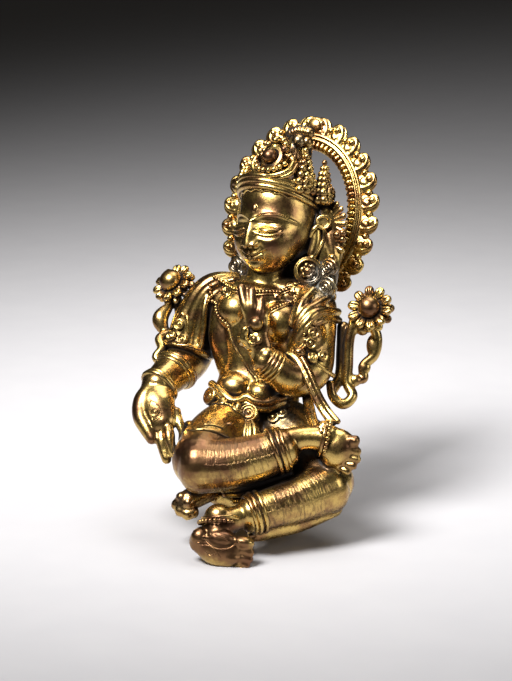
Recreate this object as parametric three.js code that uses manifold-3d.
// Seated goddess, a small figure cast in gilt copper, with a ring nimbus fastened behind it.
// Millimetres, +Z up. The figure is laid out upright, x to its own left, y to its back, z along
// its spine. It then leans back and to its left, as it does when it rests on its lower foot and
// the underside of its seat, and the stretch below the ground is cut off flat.
import * as THREE from 'three';
import Module from 'manifold-3d';
import { mergeVertices } from 'three/addons/utils/BufferGeometryUtils.js';

const wasm = await Module();
wasm.setup();

// How it rests, and the middle of its footprint's box
const LEAN_BACK = 18;
const LEAN_LEFT = 7;
const GROUND = -4.2;
const MIDDLE = [7.87, 6.59];

// Head and torso turn to the figure's right, away from the knees
const TORSO_TURN = -15;
const HEAD_TURN = -28;
const HEAD_NOD = 5;
const HEAD_TILT = -4;
const HEAD_AT = [-0.5, -1, 72];

// Joints, each x, y, z and the half-thickness there
const TORSO = [
  [3, 2, 17, 11], [1.8, 1.2, 25, 10.8], [0.6, 0, 31, 9.6], [-0.4, -0.4, 36.5, 7.6],
  [-0.4, -0.4, 42, 9.1], [-0.6, 0, 48, 10], [-0.9, 0.6, 52.5, 8.6], [-0.9, 1, 56, 6],
];
const SHOULDERS = [
  [-14.5, 4, 50.8, 5.4], [-7, 2.4, 53.6, 5], [-0.9, 1, 55, 5.2], [7, -0.4, 55, 5],
  [14, -2, 53.8, 5.4],
];
const NECK = [[-0.9, 0.6, 54, 5.8], [-0.9, 0.2, 58, 5], [-0.7, -0.4, 64, 5]];
const RIGHT_ARM = [
  [-15.2, 4, 50.2, 5.6], [-16.6, 5.2, 43.5, 5.7], [-17, 4.2, 37, 5.7], [-19, -3.4, 31.8, 5.2],
  [-21, -10.6, 27.4, 4.1],
];
const LEFT_ARM = [
  [14.7, -2, 53.6, 5.6], [16.8, -3, 46, 5.6], [16.4, -6, 37.6, 5.4], [11.4, -11, 36.2, 4.9],
  [6.9, -14.6, 38.3, 3.8],
];
const RIGHT_THIGH = [[-0.4, -2, 20.6, 8.8], [-3.7, -12, 16.4, 8], [-4.9, -21.6, 11, 7.1]];
const RIGHT_SHIN = [
  [-5, -22.6, 9.9, 7], [1.3, -22.2, 11.2, 6.4], [8, -21, 14, 5.8], [14.3, -19.4, 17.6, 5],
];
const RIGHT_ANKLE = [[13, -19.6, 18.6, 3.4], [19.6, -18.4, 21.2, 2.9], [24.5, -17.6, 21.8, 3.4]];
const RIGHT_FOOT = [[24.5, -17.6, 21.7, 3.9], [26.2, -17.5, 20.4, 4.9], [27.2, -17.4, 19.6, 5.1]];
const LEFT_THIGH = [[10, 0, 21.6, 8.8], [19, -6, 17, 7.6], [25.2, -11.6, 11.2, 6.7]];
const LEFT_SHIN = [
  [25.4, -12.6, 10.2, 6.6], [20, -17, 6.2, 5.7], [14, -20.8, 2.8, 5], [9.6, -22.8, 0.4, 4.5],
];
const LEFT_ANKLE = [[10.6, -22.4, 0.8, 3.3], [6.4, -24.8, -1.2, 3], [3, -26.4, -4.8, 3.6]];
const LEFT_FOOT = [[-0.2, -27.4, -7.2, 3.6], [4.4, -27.6, -8.7, 4.4], [7.6, -27.4, -8.9, 4.1]];
const HIPS = { at: [4, 3.6, 12.6], half: [13, 10.6, 14] };
const SEAT = { at: [5, 9.4, 5.4], half: [9.6, 7.6, 9.4] };

// Lotus flowers at the shoulders: the middle of the petals, and where the flower faces
const RIGHT_FLOWER = { at: [-24.6, 4, 53.7], faces: [-0.5, -0.72, 0.48], dome: 3.1, reach: 5.4 };
const LEFT_FLOWER = { at: [27, -3.6, 55.4], faces: [-0.26, -0.93, 0.25], dome: 3, reach: 5.6 };
const PETALS = 10;

// Nimbus: an oval band set behind the head, half-width and half-height at its outer ridge
const NIMBUS_AT = [2.8, 12, 76.6];
const NIMBUS_HALF_WIDTH = 17.4;
const NIMBUS_HALF_HEIGHT = 21.6;
const NIMBUS_BAND = 4.4;
const NIMBUS_THICK = 2.4;
const FLAMES = 26;
const FLAME_REACH = 3.8;
const CLEARANCE = 0.35;

const degrees = THREE.MathUtils.degToRad;
const vector = ([x, y, z]) => new THREE.Vector3(x, y, z);

// Turns a shape by its nod, tilt and turn in degrees, and moves it to its place
function placing(at, nod = 0, tilt = 0, turn = 0) {
  const turning = new THREE.Euler(degrees(nod), degrees(tilt), degrees(turn), 'ZYX');
  return new THREE.Matrix4().makeRotationFromEuler(turning).setPosition(...at);
}

// Turns a shape made around the z axis so that the axis points along a direction
function facing(at, direction) {
  const turning = new THREE.Quaternion();
  turning.setFromUnitVectors(new THREE.Vector3(0, 0, 1), vector(direction).normalize());
  return new THREE.Matrix4().makeRotationFromQuaternion(turning).setPosition(...at);
}

const STANDING = placing([-MIDDLE[0], -MIDDLE[1], -GROUND], 0, LEAN_LEFT, 0)
  .multiply(placing([0, 0, 0], -LEAN_BACK, 0, 0));
const HEAD = placing(HEAD_AT, HEAD_NOD, HEAD_TILT, HEAD_TURN);
const NIMBUS = placing(NIMBUS_AT, 0, 0, TORSO_TURN);
const BODY = new THREE.Matrix4();

// One closed solid from a geometry, set where the frame puts it on the standing figure
function solid(geometry, frame = BODY) {
  geometry.deleteAttribute('normal');
  geometry.deleteAttribute('uv');
  geometry.applyMatrix4(new THREE.Matrix4().multiplyMatrices(STANDING, frame));
  const merged = mergeVertices(geometry, 1e-5);
  const mesh = new wasm.Mesh({
    numProp: 3,
    vertProperties: Float32Array.from(merged.attributes.position.array),
    triVerts: Uint32Array.from(merged.index.array),
  });
  return new wasm.Manifold(mesh);
}

const joined = (solids) => solids.flat(Infinity).reduce((whole, next) => whole.add(next));

// Skin over a row of rings of points, closed by a point at each end
function skin(rings, first, last) {
  const sides = rings[0].length;
  const points = [first, ...rings.flat(), last];
  const end = points.length - 1;
  const faces = [];
  for (let side = 0; side < sides; side += 1) {
    const next = (side + 1) % sides;
    faces.push(0, 1 + next, 1 + side);
    for (let ring = 0; ring < rings.length - 1; ring += 1) {
      const here = 1 + ring * sides;
      const there = here + sides;
      faces.push(here + side, here + next, there + next);
      faces.push(here + side, there + next, there + side);
    }
    faces.push(end, end - sides + side, end - sides + next);
  }
  const geometry = new THREE.BufferGeometry().setFromPoints(points);
  return geometry.setIndex(faces);
}

// A limb along its joints. Depth is how deep its section is, against its width, measured along
// the y axis. Bands are raised rings, each a place along the limb and how far it swells.
function limb(joints, { sides = 8, steps = 5, depth = 1, rounded = false, bands = [], frame = BODY } = {}) {
  const centres = joints.map(([x, y, z]) => new THREE.Vector3(x, y / depth, z));
  const path = new THREE.CatmullRomCurve3(centres, false, 'centripetal');
  const girth = new THREE.CatmullRomCurve3(joints.map((joint) => new THREE.Vector3(joint[3], 0, 0)));
  const frames = path.computeFrenetFrames(steps);
  const radiusAt = (along) => girth.getPoint(path.getUtoTmapping(along)).x;
  const ringAt = (along, beyond, swell) => {
    const near = Math.round(along * steps);
    const tangent = path.getTangentAt(along);
    const across = frames.normals[near].clone().projectOnPlane(tangent).normalize();
    const up = tangent.clone().cross(across);
    const radius = radiusAt(along);
    const middle = path.getPointAt(along).addScaledVector(tangent, beyond * radius);
    const ring = [];
    for (let side = 0; side < sides; side += 1) {
      const angle = (2 * Math.PI * side) / sides;
      ring.push(middle.clone()
        .addScaledVector(across, swell * radius * Math.cos(angle))
        .addScaledVector(up, swell * radius * Math.sin(angle)));
    }
    return ring;
  };
  const poleAt = (along, beyond) => path.getPointAt(along)
    .addScaledVector(path.getTangentAt(along), beyond * radiusAt(along));
  const stops = [];
  for (let step = 0; step <= steps; step += 1) stops.push([step / steps, 1]);
  for (const [along, swell, width] of bands) {
    stops.push([along - width, 1], [along - width * 0.8, swell]);
    stops.push([along + width * 0.8, swell], [along + width, 1]);
  }
  stops.sort((a, b) => a[0] - b[0]);
  const rings = stops.map(([along, swell]) => ringAt(along, 0, swell));
  if (rounded) {
    rings.unshift(ringAt(0, -0.65, 0.7));
    rings.push(ringAt(1, 0.65, 0.7));
  }
  const end = rounded ? 0.95 : 0.5;
  const geometry = skin(rings, poleAt(0, -end), poleAt(1, end));
  return solid(geometry.scale(1, depth, 1), frame);
}

function ball(at, half, { across = 6, down = 4, frame = BODY, turned = [0, 0, 0] } = {}) {
  const geometry = new THREE.SphereGeometry(1, across, down).rotateX(Math.PI / 2);
  geometry.scale(...half).applyMatrix4(placing(at, ...turned));
  return solid(geometry, frame);
}

// A ring closed on itself, from the points of its section at each step round it
function ringOf(sections, frame = BODY) {
  const sides = sections[0].length;
  const faces = [];
  sections.forEach((section, step) => {
    const here = step * sides;
    const there = ((step + 1) % sections.length) * sides;
    for (let side = 0; side < sides; side += 1) {
      const next = (side + 1) % sides;
      faces.push(here + side, there + next, here + next);
      faces.push(here + side, there + side, there + next);
    }
  });
  const geometry = new THREE.BufferGeometry().setFromPoints(sections.flat());
  return solid(geometry.setIndex(faces), frame);
}

// A raised hoop through its points, as a belt, a collar or the band of a crown
function hoop(points, radius, { sides = 4, steps = 12, frame = BODY } = {}) {
  const path = new THREE.CatmullRomCurve3(points.map(vector), true);
  const { normals, binormals } = path.computeFrenetFrames(steps, true);
  const sections = [];
  for (let step = 0; step < steps; step += 1) {
    const section = [];
    for (let side = 0; side < sides; side += 1) {
      const angle = (2 * Math.PI * side) / sides;
      section.push(path.getPointAt(step / steps)
        .addScaledVector(normals[step], -radius * Math.cos(angle))
        .addScaledVector(binormals[step], radius * Math.sin(angle)));
    }
    sections.push(section);
  }
  return ringOf(sections, frame);
}

// A cord or ridge of even thickness along its points
function ridge(points, radius, { sides = 4, steps = 5, frame = BODY } = {}) {
  const path = new THREE.CatmullRomCurve3(points.map(vector));
  const corners = [];
  for (let side = 0; side < sides; side += 1) {
    const angle = (2 * Math.PI * side) / sides;
    corners.push(new THREE.Vector2(radius * Math.cos(angle), radius * Math.sin(angle)));
  }
  const geometry = new THREE.ExtrudeGeometry(new THREE.Shape(corners), { extrudePath: path, steps });
  return solid(geometry, frame);
}

function disc(at, direction, radius, thick, { sides = 8, frame = BODY } = {}) {
  const geometry = new THREE.CylinderGeometry(radius * 0.8, radius, thick, sides).rotateX(Math.PI / 2);
  return solid(geometry.applyMatrix4(facing(at, direction)), frame);
}

// Torso with breasts and belly, the shoulders, and the hips down to the seat
function torso() {
  return [
    limb(TORSO, { sides: 9, steps: 5, depth: 0.82 }),
    limb(SHOULDERS, { sides: 6, steps: 4 }),
    limb(NECK, { sides: 7, steps: 2 }),
    ball(HIPS.at, HIPS.half, { across: 9, down: 6 }),
    ball(SEAT.at, SEAT.half, { across: 8, down: 5 }),
    ball([-6.4, -4.4, 49.2], [4.7, 4.7, 4.5], { across: 6, down: 4 }),
    ball([6, -5.6, 48.4], [4.9, 4.9, 4.7], { across: 6, down: 4 }),
    ball([-2.8, -5.4, 31], [4.4, 4, 3.6], { across: 5, down: 3 }),
    ball([3.8, -5.6, 30.6], [4, 4, 3.2], { across: 5, down: 3 }),
  ];
}

// Belt: a raised rim that dips in front, with a rosette, a tassel and pendants under it
function belt() {
  const RIM = { x: 1.2, y: 0.4, halfWidth: 10.8, halfDepth: 9.6, front: 27.2, side: 30.2 };
  const rim = [];
  for (let step = 0; step < 12; step += 1) {
    const angle = (2 * Math.PI * step) / 12;
    const dip = (RIM.side - RIM.front) * Math.max(0, Math.cos(angle)) ** 0.8;
    rim.push([
      RIM.x + RIM.halfWidth * Math.sin(angle),
      RIM.y - RIM.halfDepth * Math.cos(angle),
      RIM.side - dip,
    ]);
  }
  const pendants = [-60, -32, 32, 60].map((angle) => ball(
    [
      RIM.x + 0.4 + 10.8 * Math.sin(degrees(angle)),
      RIM.y - 9.8 * Math.cos(degrees(angle)),
      24.9 + Math.abs(angle) / 26,
    ],
    [1.6, 1.6, 1.9],
    { across: 5, down: 3 },
  ));
  return [
    hoop(rim, 1.1),
    disc([3, -10.4, 24.8], [-0.05, -1, 0.1], 2.1, 2.4, { sides: 7 }),
    limb(
      [[3.3, -11, 22.6, 1.4], [3.8, -11.6, 20.4, 2.4], [4.2, -12.4, 18.4, 1.6]],
      { sides: 5, steps: 2, depth: 0.6 },
    ),
    pendants,
  ];
}

// Legs folded across each other, the left one lower and in front, in cloth that ends in hems
function legs() {
  return [
    limb(RIGHT_THIGH, { sides: 8, steps: 3 }),
    limb(RIGHT_SHIN, { sides: 8, steps: 4, rounded: true, bands: [[0.92, 1.13, 0.07]] }),
    limb(RIGHT_ANKLE, { sides: 6, steps: 2 }),
    limb(LEFT_THIGH, { sides: 8, steps: 3 }),
    limb(LEFT_SHIN, { sides: 8, steps: 4, rounded: true, bands: [[0.92, 1.13, 0.07]] }),
    limb(LEFT_ANKLE, { sides: 6, steps: 2 }),
    // fold of the skirt over the right thigh
    ridge([[-12.4, -9, 18.4], [-10.4, -15, 19.4], [-5, -18, 19.6], [0, -17.4, 21]], 0.9, { steps: 4 }),
    // cloth seen below each shin, and the mass of it under the left knee
    limb([[3, -19, 6.4, 2.4], [9, -18, 8.4, 2.4], [16, -16, 12, 2.2]], { sides: 5, steps: 2 }),
    limb([[11, -18, -3.6, 2.6], [19, -14.4, 0.6, 3.2], [27.4, -9.6, 6, 3]], { sides: 5, steps: 2 }),
    limb([[5, -10, 8, 7], [14, -8, 8, 7], [22, -7, 10, 5]], { sides: 6, steps: 2 }),
    // knotted end of cloth below the right knee
    limb([[-4, -18.4, 3.6, 3], [-6.2, -18.8, -0.4, 3]], { sides: 6, steps: 1, rounded: true }),
    [0, 1, 2].map((step) => ball(
      [-8.4 + step * 2, -20.4, -1 - step * 0.9],
      [1.4, 1.4, 1.4],
      { across: 5, down: 3 },
    )),
  ];
}

// A foot lying on its outer side, with its toes in a row from the big one on top
function foot(joints, { toes, spread, anklet }) {
  return [
    limb(joints, { sides: 7, steps: 2, depth: 0.8, rounded: true }),
    [0, 1, 2, 3, 4].map((toe) => {
      const girth = toe === 0 ? 1.6 : 1.2 - toe * 0.05;
      const bow = 1.1 * Math.sin((Math.PI * toe) / 4);
      const tip = toes.map((value, axis) => value + spread[axis] * toe);
      const joint = [tip[0] - 4 + bow, tip[1] + 0.6, tip[2], girth];
      return limb([joint, [tip[0] + bow, tip[1], tip[2], girth]], { sides: 4, steps: 1 });
    }),
    disc(anklet.at, anklet.along, anklet.radius, 2.4),
  ];
}

function finger(points, girth = 1.25) {
  const last = points.length - 1;
  const joints = points.map((point, index) => [...point, girth * (index === last ? 0.85 : 1)]);
  return limb(joints, { sides: 4, steps: 2 });
}

// Right hand, hanging open with the palm forward, and the thumb on its outer side
function rightHand() {
  return [
    limb(
      [[-21, -10.6, 27.4, 3.8], [-20.2, -14, 22.8, 4.8], [-18.4, -15.8, 18.6, 4]],
      { sides: 7, steps: 2, depth: 0.75 },
    ),
    finger([[-22.8, -13.6, 23.6], [-22.6, -15.6, 18.6], [-19.6, -17.4, 14.4]], 1.9),
    finger([[-19, -16, 18.4], [-17.4, -17.8, 14.4], [-15.9, -18.6, 10.8]], 1.5),
    finger([[-17.4, -15.6, 18.6], [-15.6, -17.4, 14.6], [-14, -18.2, 11.6]], 1.5),
    finger([[-16.4, -15, 19], [-14.6, -15.8, 14.6], [-13.4, -15.6, 9.9]], 1.4),
    finger([[-16.2, -14, 21], [-13.6, -14.6, 17.4], [-12.2, -14.6, 15]], 1.3),
  ];
}

// Left hand raised before the chest, its thumb and one finger closing on a jewel
function leftHand() {
  return [
    limb(
      [[6.9, -14.6, 38.3, 3.4], [2.9, -15.4, 41.4, 3.7], [1.6, -15.4, 45.2, 3.1]],
      { sides: 7, steps: 2, depth: 0.8 },
    ),
    finger([[-0.4, -15.8, 45.2], [-2.8, -16, 50.4], [-4.2, -15.2, 54.4]]),
    finger([[1, -15.8, 46], [-0.6, -16, 51], [-1.6, -15.2, 55.2]]),
    finger([[2.6, -15.6, 45.8], [2, -15.8, 50], [1.2, -15.2, 53.2]]),
    finger([[4, -15.2, 43.8], [3.4, -15.4, 47.8], [2.6, -15, 51]]),
    finger([[1, -16.6, 39.6], [-1.4, -17.8, 42.8], [0.2, -18.6, 45.8]], 1.5),
    ball([1.2, -17.8, 46.8], [2, 1.8, 2]),
  ];
}

// Arms, with the shawl's folds over the shoulders, armlets, and cuffs or bracelets
function arms() {
  const folds = [
    [[-9, 0, 56], [-12.4, -3.4, 52], [-13.6, -3, 46], [-13.6, -1, 41]],
    [[9.4, -3.4, 57.4], [10.6, -8.2, 53.4], [10.2, -9.4, 48.4], [9, -9, 43]],
    [[13, -3.6, 58.2], [16, -8.4, 54.4], [15, -9.6, 49.4], [10.8, -9.6, 43.6]],
  ];
  return [
    limb(RIGHT_ARM, { sides: 8, steps: 5, bands: [[0.42, 1.14, 0.03], [0.93, 1.2, 0.03]] }),
    limb(LEFT_ARM, { sides: 8, steps: 5, bands: [[0.93, 1.16, 0.05]] }),
    limb(
      [[-7, 1, 57, 2.6], [-13, 0.6, 53.6, 4.6], [-16.4, 2, 46.4, 5.4], [-17.4, 2.6, 41, 5]],
      { sides: 6, steps: 3 },
    ),
    limb(
      [[6, -2.6, 57, 2.6], [12.6, -4.6, 54, 4.4], [12.8, -5.6, 48, 4.6], [9.6, -6.4, 42.4, 2.8]],
      { sides: 6, steps: 3 },
    ),
    folds.map((points) => ridge(points, 1.2, { sides: 3, steps: 3 })),
    disc([-20.4, -0.8, 42], [-0.7, -0.7, 0.1], 2, 2.4, { sides: 6 }),
    limb([[16, -8.4, 49, 1.5], [16, -9.4, 45.4, 1.6], [15.8, -9.8, 42.4, 1.8]], { sides: 6, steps: 2 }),
    rightHand(),
    leftHand(),
  ];
}

// Head, in its own frame about its middle, with the face to -y
function head() {
  const at = { frame: HEAD };
  return [
    ball([0.4, 1.8, 1.6], [10, 10.8, 11.4], { across: 9, down: 6, ...at }),
    ball([0.2, -3.4, -3], [8.2, 7.2, 9.6], { across: 8, down: 6, ...at }),
    limb([[0, -9.6, 2.4, 0.8], [0, -11.4, -3.6, 1.6]], { sides: 5, steps: 1, ...at }),
    ball([0, -9.8, -7.6], [2.3, 1.1, 0.9], { across: 5, down: 3, ...at }),
    ball([0, -8.4, -10.8], [2.4, 2, 1.8], { across: 5, down: 3, ...at }),
    [-1, 1].map((side) => [
      limb([[10.2 * side, 3.8, 2.6, 1.6], [10 * side, 2.8, -6.6, 1.3]], { sides: 5, steps: 1, ...at }),
      disc([9.6 * side, 2.2, -10.6], [0.75 * side, -0.66, 0], 3.5, 2, { sides: 8, ...at }),
      ball([10.2 * side, 1.4, -10.6], [1.7, 1.7, 1.7], { across: 5, down: 3, ...at }),
      // rosette above the ear and the pleated ribbon that stands out behind it
      disc([11.2 * side, 4, 1.8], [0.8 * side, -0.6, 0], 2, 3.4, { sides: 6, ...at }),
      [[12.8, 6.2], [15.4, 3.4], [15.4, -0.8]].map(([out, up]) => ridge(
        [[9 * side, 6, 2], [out * side, 7, up]],
        1.5,
        { steps: 1, ...at },
      )),
      // locks that fall in curls behind the earring
      limb(
        [
          [11.6 * side, 6.2, -1, 1.9], [13.6 * side, 6, -5.8, 1.8], [14.2 * side, 5.2, -9.8, 2.5],
          [13.9 * side, 5.4, -12.3, 1.7], [14 * side, 5.4, -14.8, 2.8], [13.4 * side, 5.6, -17.4, 1.2],
        ],
        { sides: 5, steps: 5, ...at },
      ),
    ]),
    // hair down the nape, where the nimbus rests
    limb([[0.5, 5, 74, 8.6], [1.6, 7.6, 64, 6.8], [2.3, 8, 55, 6]], { sides: 7, steps: 2, depth: 0.75 }),
  ];
}

// Crown: a double band, a tall leaf in front, two pairs at the sides, and the bound topknot
function crown() {
  const at = { frame: HEAD };
  const band = { x: 10, y: 11, tilt: 19 };
  const onBand = (angle, out, up) => {
    const x = (band.x + out) * Math.sin(degrees(angle));
    const y = -(band.y + out) * Math.cos(degrees(angle));
    const rise = -(y * Math.sin(degrees(band.tilt)));
    return [x, y * Math.cos(degrees(band.tilt)) + 0.8, 6.6 + rise + up];
  };
  const circle = [];
  for (let angle = 0; angle < 360; angle += 30) circle.push(onBand(angle, -0.2, 0.5));
  const leaf = (angle, out, height, width) => {
    const [x, y, z] = onBand(angle, out, 0.6);
    return limb(
      [
        [x, y, z, width],
        [x * 0.96, y * 0.96, z + height * 0.5, width],
        [x * 0.9, y * 0.9, z + height, width * 0.4],
      ],
      { sides: 5, steps: 2, ...at },
    );
  };
  return [
    hoop(circle, 1.3, at),
    ball([0, 2.4, 9.4], [8.8, 9.4, 7.4], { across: 9, down: 4, ...at }),
    limb([[0, 3, 12, 6.4], [1.4, 4, 17, 4.6], [2.6, 4.2, 21, 3.4]], { sides: 7, steps: 2, ...at }),
    disc([1.8, -5.2, 16.4], [0.1, -0.93, 0.34], 3.3, 4, at),
    ball([1.9, -7.2, 16.8], [2, 2, 2], at),
    ridge([[-3, -6.6, 15.2], [-0.8, -8.8, 12.6], [4.6, -8.8, 12.2], [7.2, -5.8, 14]], 1.2, at),
    [[-0.8, 19], [2, 20.4], [4.6, 19]].map(([x, z]) => ball(
      [x, -3.6, z],
      [1.7, 2.2, 1.9],
      { across: 5, down: 3, ...at },
    )),
    leaf(74, 0, 9, 2.5), leaf(-74, 0, 9, 2.5), leaf(106, 1.8, 8.6, 2.2), leaf(-106, 1.8, 8.6, 2.2),
    ball([3.6, 1.2, 21.6], [1.8, 1.8, 1.8], at),
    limb([[1.6, 3.2, 23.6, 1.8], [4.4, 3, 24, 1.6]], { sides: 5, steps: 1, ...at }),
  ];
}

// Collar of beads round the neck
function collar() {
  const beads = [];
  for (let angle = 0; angle < 360; angle += 36) {
    const [side, front] = [Math.sin(degrees(angle)), Math.cos(degrees(angle))];
    beads.push([-0.9 + 9.4 * side, 0.6 - 8.4 * front, 57.6 - 3 * front - Math.abs(side)]);
  }
  return hoop(beads, 0.9);
}

// A flower of rounded petals about a tall dome. Its edge goes in at each gap between two petals.
function flower({ at, faces, dome, reach }) {
  const frame = facing(at, faces);
  const petalEdge = [0.72, 1, 1];
  const sides = PETALS * petalEdge.length;
  const sections = [[2.6, -1.6, 0], [reach, -0.3, 1], [reach * 0.7, 1, 0.4]];
  const rings = sections.map(([radius, up, lobed]) => {
    const ring = [];
    for (let side = 0; side < sides; side += 1) {
      const angle = (2 * Math.PI * side) / sides;
      const out = radius * (1 - lobed * (1 - petalEdge[side % petalEdge.length]));
      ring.push(new THREE.Vector3(out * Math.cos(angle), out * Math.sin(angle), up));
    }
    return ring;
  });
  const petals = skin(rings, new THREE.Vector3(0, 0, -1.8), new THREE.Vector3(0, 0, 1));
  return [solid(petals, frame), ball([0, 0, 1.4], [dome, dome, 2.6], { across: 7, down: 5, frame })];
}

// Stems of the flowers, with the leaf and scrolls that brace them against the arms
function stems() {
  return [
    ridge([[-23.6, 5, 51], [-21.6, 4.6, 46], [-21.8, 1, 38], [-22, -2, 33]], 1.3),
    limb([[-24.6, 3.6, 48, 1.4], [-26, 2.4, 44.4, 2.2], [-23.6, 2, 40.4, 1.2]], { sides: 5, steps: 2 }),
    ridge([
      [-22.4, 1.6, 41.4], [-24.8, 0, 39.4], [-23.4, -1.8, 36.8], [-24.2, -3, 34.4], [-22, -3.6, 33],
    ], 1.2),
    ridge([
      [23.4, -2, 53], [22.9, -1.6, 47], [23.6, -1.2, 41], [24.4, -1.2, 36],
      [26.2, -2, 33.4], [24.4, -3, 31], [21.6, -3.2, 32.4], [20.4, -3.6, 35.4],
    ], 1.4, { steps: 10 }),
    ridge([
      [26.4, -2, 53], [29.4, -0.4, 49], [29.4, 0, 44.4], [27.2, 0, 41], [27.8, 0, 38.2],
      [25.4, -0.6, 37.6],
    ], 1.3, { steps: 7 }),
    ridge([[20.6, 0, 50], [21.4, 0.4, 44], [22, 0, 38], [21, -1, 34]], 1.6, { steps: 3 }),
  ];
}

// Scarf ends that fall from the left elbow to the foot
function scarves() {
  return [
    ridge([[11.6, -9.6, 42.6], [15.4, -12, 37.4], [19.6, -13.6, 31], [25, -16.4, 25.6]], 1.5),
    ridge([[14.8, -9.4, 40.4], [19.4, -8.6, 37.4], [22.6, -5.4, 34.4]], 1.3, { steps: 3 }),
    ridge([[15, -6, 33.4], [17.2, -10, 28.6], [20.8, -17, 23]], 1.4, { steps: 3 }),
  ];
}

// Point on the nimbus, an angle from its top and a distance outside its ridge
function onNimbus(angle, out) {
  const place = new THREE.Vector2(
    NIMBUS_HALF_WIDTH * Math.sin(angle),
    NIMBUS_HALF_HEIGHT * Math.cos(angle),
  );
  const normal = new THREE.Vector2(
    NIMBUS_HALF_HEIGHT * Math.sin(angle),
    NIMBUS_HALF_WIDTH * Math.cos(angle),
  ).normalize();
  return place.addScaledVector(normal, out);
}

// The nimbus ring or its room, its section given at each step as pairs of a distance outside
// the ridge and a depth
function nimbusRing(steps, sectionAt) {
  const sections = [];
  for (let step = 0; step < steps; step += 1) {
    const angle = (2 * Math.PI * step) / steps;
    sections.push(sectionAt(step).map(([out, deep]) => {
      const place = onNimbus(angle, out);
      return new THREE.Vector3(place.x, deep, place.y);
    }));
  }
  return ringOf(sections, NIMBUS);
}

// The nimbus: a thin inner rim, a raised band, and a border of flames that all lean one way
function nimbus() {
  const back = NIMBUS_THICK / 2;
  const scallop = [0.5, 0.95, 1];
  const ring = nimbusRing(FLAMES * scallop.length, (step) => {
    const reach = 0.6 + FLAME_REACH * scallop[step % scallop.length];
    const swell = 0.4 + 0.7 * scallop[step % scallop.length];
    return [
      [-NIMBUS_BAND, -0.8], [-0.9, -back], [0.5, -back],
      [reach * 0.8, -swell * 0.8], [reach, swell * 0.5], [-NIMBUS_BAND, back],
    ];
  });
  const top = onNimbus(0, 2.2);
  return ring.add(ball([top.x, -0.2, top.y], [2.8, 1.5, 2.6], { frame: NIMBUS }));
}

// Room for the nimbus where it rests against the hair and shoulders
function nimbusRoom() {
  const front = -NIMBUS_THICK / 2 - CLEARANCE;
  const inner = -NIMBUS_BAND - CLEARANCE - 0.2;
  const outer = FLAME_REACH + 1.4;
  const behind = 8;
  return nimbusRing(24, () => [[inner, front], [outer, front], [outer, behind], [inner, behind]]);
}

// The figure as one casting, cut flat where it stands and cleared for the nimbus behind its neck
function figure() {
  const feet = [
    foot(RIGHT_FOOT, {
      toes: [31.8, -18, 22.2],
      spread: [-0.2, 0, -1.8],
      anklet: { at: [24, -17.6, 21.6], along: [0.96, 0.14, 0.1], radius: 4.8 },
    }),
    foot(LEFT_FOOT, {
      toes: [11.8, -27.6, -6.4],
      spread: [0.1, 0, -1.4],
      anklet: { at: [2.8, -26.2, -3.4], along: [0.1, 0.1, 1], radius: 5.6 },
    }),
  ];
  const cast = joined([
    torso(), belt(), legs(), arms(), head(), crown(), collar(), stems(), scarves(), feet,
    flower(RIGHT_FLOWER), flower(LEFT_FLOWER),
  ]);
  const upright = STANDING.clone().invert();
  const ground = solid(new THREE.BoxGeometry(200, 200, 60).translate(0, 0, -30), upright);
  return cast.subtract(nimbusRoom()).subtract(ground);
}

function named(name, shape, material) {
  const { vertProperties, triVerts } = shape.getMesh();
  const geometry = new THREE.BufferGeometry();
  geometry.setAttribute('position', new THREE.BufferAttribute(vertProperties, 3));
  geometry.setIndex(new THREE.BufferAttribute(triVerts, 1));
  geometry.computeVertexNormals();
  const mesh = new THREE.Mesh(geometry, material);
  mesh.name = name;
  return mesh;
}

const worn = new THREE.MeshStandardMaterial({ color: '#a98a4a', roughness: 0.38, metalness: 1 });
const gilt = new THREE.MeshStandardMaterial({ color: '#b3893f', roughness: 0.36, metalness: 1 });
const goddess = new THREE.Group();
goddess.add(named('figure', figure(), worn), named('nimbus', nimbus(), gilt));

export default goddess;
